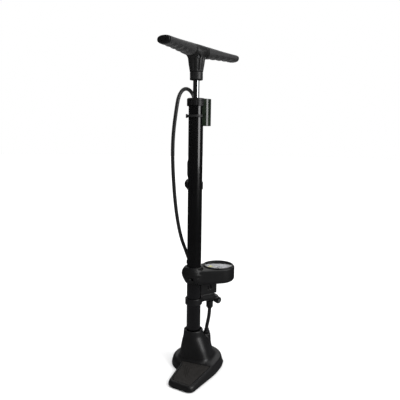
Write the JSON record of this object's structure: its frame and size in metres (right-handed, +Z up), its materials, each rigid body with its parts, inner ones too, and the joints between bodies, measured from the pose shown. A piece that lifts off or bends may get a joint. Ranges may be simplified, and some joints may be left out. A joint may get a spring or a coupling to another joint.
{
  "type": "floor bike pump",
  "caption": "Upright floor pump with a T handle, slim steel barrel, side pressure gauge, looped hose, docked lever head and a one-sided foot plate.",
  "frame": {"origin": "on the floor, on the barrel's axis, at the underside of the rubber foot below the barrel", "axes": "+Z up along the barrel; the foot pad points along -Y; the gauge arm bears 50 degrees from +X towards +Y"},
  "size_m": [0.1323, 0.2425, 0.719],
  "materials": {
    "satin_black": "satin moulded plastic with a fine spark texture",
    "handle_grey": "satin dark grey moulded plastic",
    "grip": "soft matte grip skin",
    "gloss_black": "gloss black powder coat",
    "rubber": "smooth black rubber",
    "tread": "pebbled warm dark grey rubber",
    "chrome": "polished hard chrome",
    "steel": "zinc plated",
    "brass": "turned",
    "dial": "printed light grey dial",
    "lens": "clear polished lens",
    "needle": "painted pointer",
    "white_plastic": "natural acetal",
    "card": "laminated dark card"
  },
  "bodies": {
    "pump_frame": {"base_body": "satin_black", "foot_tread": "tread", "foot_pad_hub": "rubber", "foot_pad_toe": "rubber", "foot_pad_left": "rubber", "foot_pad_right": "rubber", "barrel_tube": "gloss_black", "barrel_plug": "steel", "plug_seal": "rubber", "barrel_bolt": "steel", "barrel_cap": "satin_black", "rod_bush": "white_plastic", "rod_wiper": "rubber", "valve_seat": "brass", "outlet_fitting": "satin_black", "feed_hose": "rubber", "feed_ferrule": "satin_black", "gauge_housing": "satin_black", "gauge_clamp": "satin_black", "clamp_screw_1": "steel", "clamp_screw_2": "steel", "hose_bracket": "satin_black", "bracket_bolt": "steel", "gauge_socket": "brass", "bourdon_tube": "brass", "dial_plate": "dial", "gauge_lens": "lens", "gauge_bezel": "satin_black", "main_hose": "rubber", "hose_ferrule_gauge": "satin_black", "head_body": "satin_black", "head_cap": "satin_black", "valve_seal": "rubber", "head_ferrule": "satin_black", "lever_pin": "steel", "head_dock": "satin_black", "hang_card": "card", "card_tie": "satin_black"},
    "piston_slide": {"piston": "white_plastic", "piston_seal": "rubber"},
    "handle": {"handle_core": "handle_grey", "grip_near": "grip", "grip_far": "grip", "end_cap_near": "satin_black", "end_cap_far": "satin_black", "handle_screw_1": "steel", "handle_screw_2": "steel", "rod": "chrome", "rod_plug": "steel", "piston_bolt": "steel", "piston_bumper": "rubber"},
    "lever": {"head_lever": "satin_black"},
    "needle": {"gauge_needle": "needle"},
    "check_valve": {"valve_poppet": "rubber", "valve_spring": "steel"}
  },
  "joints": [
    {"name": "pump_stroke", "type": "slide", "parent": "pump_frame", "child": "piston_slide", "axis": [0, 0, 1], "range_m": [-0.038, 0.46]},
    {"name": "handle_swivel", "type": "hinge", "parent": "piston_slide", "child": "handle", "pos_m": [0, 0, 0.1], "axis": [0, 0, 1], "continuous": true},
    {"name": "lever_swing", "type": "hinge", "parent": "pump_frame", "child": "lever", "pos_m": [-0.0237, 0.03034, 0.4195], "axis": [-0.788, -0.6157, 0], "range_deg": [0, 90]},
    {"name": "needle_turn", "type": "hinge", "parent": "pump_frame", "child": "needle", "pos_m": [0.04178, 0.04979, 0.224], "axis": [0, 0, -1], "range_deg": [0, 270], "stiffness_Nm_per_rad": 0.0004},
    {"name": "valve_lift", "type": "slide", "parent": "pump_frame", "child": "check_valve", "axis": [0, 0, 1], "range_m": [0, 0.002], "stiffness_N_per_m": 20, "springref_m": -0.01, "deforming": ["valve_spring"]}
  ]
}
